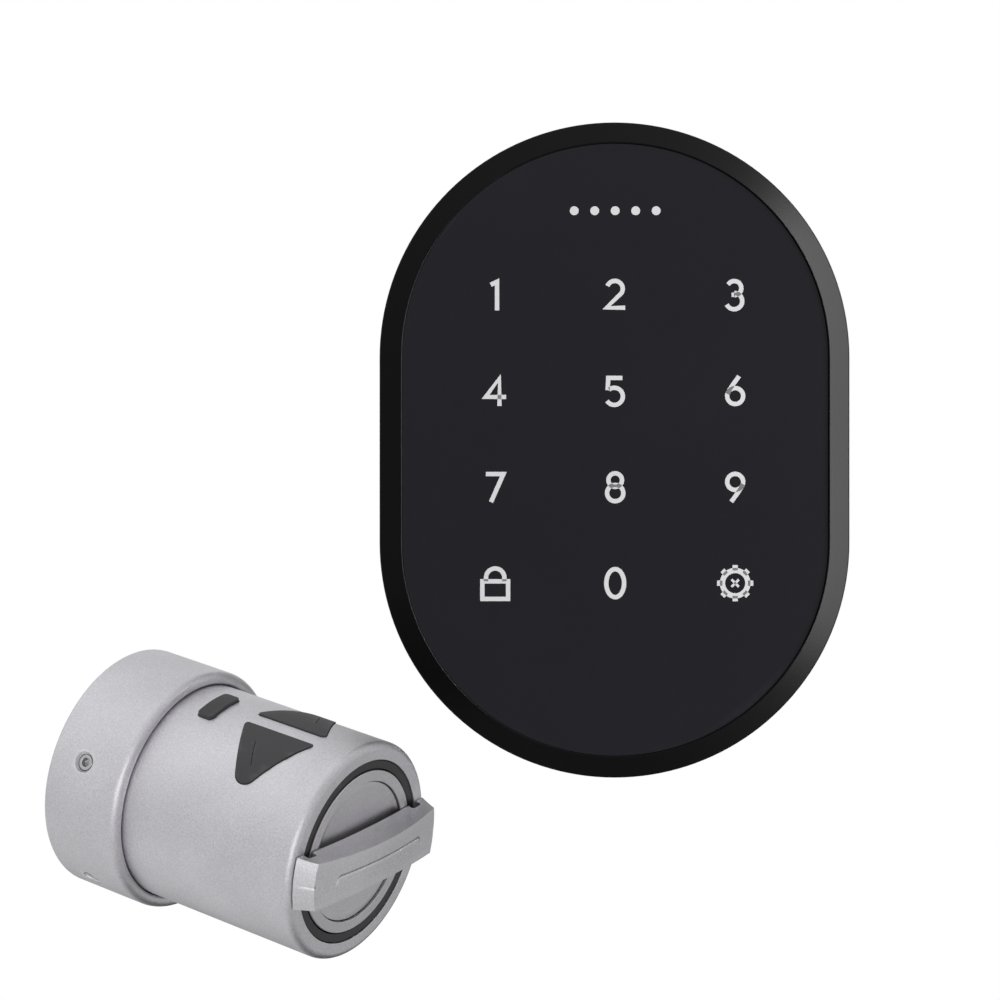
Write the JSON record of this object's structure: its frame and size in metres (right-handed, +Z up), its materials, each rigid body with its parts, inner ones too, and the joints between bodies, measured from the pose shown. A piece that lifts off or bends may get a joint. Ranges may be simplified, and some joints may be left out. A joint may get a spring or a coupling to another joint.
{
  "type": "keypad smart lock",
  "caption": "Battery touch keypad for the wall by a door, with the round motorised thumb-turn unit it commands, which turns a cylinder from inside.",
  "frame": {"origin": "centre of the keypad's wall face, on the wall plate's back", "axes": "+Z up the keypad, +Y into the wall, +X to the right as a user sees the keypad; the lock unit is displayed at lower left, turned"},
  "size_m": [0.15, 0.0726, 0.1546],
  "materials": {
    "satin_silver": "fine bead-blasted and clear anodised, satin",
    "black_shell": "satin black",
    "black_glass": "gloss black",
    "button_grey": "soft matt dark grey",
    "rubber": "matt",
    "dark_plastic": "fine texture",
    "white_plastic": "translucent white",
    "board": "solder mask",
    "steel": "zinc plated",
    "brass": "machined",
    "cell_wrap": "printed shrink wrap",
    "nickel": "nickel plated"
  },
  "bodies": {
    "wall_mounts": {"wall_plate": "dark_plastic", "mounting_collar": "satin_silver", "mounting_plate": "steel", "collar_set_screw_1": "steel", "collar_set_screw_2": "steel", "collar_set_screw_3": "steel", "collar_set_screw_4": "steel"},
    "keypad_unit": {"keypad_housing": "black_shell", "keypad_glass": "black_glass", "glass_gasket": "rubber", "light_guide": "white_plastic", "touch_board": "board", "buzzer": "dark_plastic", "rear_cover": "black_shell", "battery_tray": "dark_plastic", "security_screw": "steel", "cover_screw_1": "steel", "cover_screw_2": "steel", "cover_screw_3": "steel", "cover_screw_4": "steel", "cell_1": "cell_wrap", "cell_2": "cell_wrap", "cell_3": "cell_wrap", "contact_top_pair": "nickel", "contact_top_single": "nickel", "contact_bottom_single": "nickel", "contact_bottom_pair": "nickel"},
    "tamper": {"tamper_plunger": "white_plastic"},
    "lock_unit": {"body_shell": "satin_silver", "light_ring": "black_glass", "ring_led_board": "board", "rear_bush": "brass", "front_bush": "brass", "motor_gearbox": "brass", "drive_motor": "steel", "chassis": "dark_plastic", "front_bulkhead": "dark_plastic", "chassis_screw_1": "steel", "chassis_screw_2": "steel", "chassis_screw_3": "steel", "chassis_screw_4": "steel", "battery_pack": "cell_wrap", "main_board": "board", "motor_driver_board": "board"},
    "knob": {"knob_hub": "satin_silver", "knob_disc": "satin_silver", "knob_grip": "satin_silver", "grip_screw_1": "steel", "grip_screw_2": "steel", "spindle": "steel", "tail_coupler": "brass", "retaining_clip": "steel", "output_gear": "brass"},
    "pinion": {"motor_pinion": "steel"},
    "unlock_key": {"unlock_button": "button_grey"},
    "lock_key": {"lock_button": "button_grey"},
    "mode_key": {"mode_button": "button_grey"}
  },
  "joints": [
    {"name": "keypad_lift_off", "type": "slide", "parent": "wall_mounts", "child": "keypad_unit", "axis": [0, -1, 0], "range_m": [0, 0.03]},
    {"name": "tamper_press", "type": "slide", "parent": "keypad_unit", "child": "tamper", "axis": [0, -1, 0], "range_m": [0, 0.0008], "stiffness_N_per_m": 800},
    {"name": "lock_pull_off", "type": "slide", "parent": "wall_mounts", "child": "lock_unit", "axis": [0.8261, -0.5116, -0.2364], "range_m": [0, 0.02]},
    {"name": "knob_turn", "type": "hinge", "parent": "lock_unit", "child": "knob", "pos_m": [-0.0699, -0.039, -0.0661], "axis": [0.8261, -0.5116, -0.2364], "continuous": true},
    {"name": "pinion_spin", "type": "hinge", "parent": "lock_unit", "child": "pinion", "pos_m": [-0.084, -0.04206, -0.06772], "axis": [0.8261, -0.5116, -0.2364], "continuous": true},
    {"name": "unlock_press", "type": "slide", "parent": "lock_unit", "child": "unlock_key", "axis": [0.1927, 0.6506, -0.7345], "range_m": [0, 0.0006], "stiffness_N_per_m": 1500},
    {"name": "lock_press", "type": "slide", "parent": "lock_unit", "child": "lock_key", "axis": [-0.1741, 0.1672, -0.9704], "range_m": [0, 0.0006], "stiffness_N_per_m": 1500},
    {"name": "mode_press", "type": "slide", "parent": "lock_unit", "child": "mode_key", "axis": [0.0098, 0.4325, -0.9016], "range_m": [0, 0.0006], "stiffness_N_per_m": 1500}
  ],
  "couplings": [
    {"joint": "pinion_spin", "follows": "knob_turn", "ratio": -2}
  ]
}
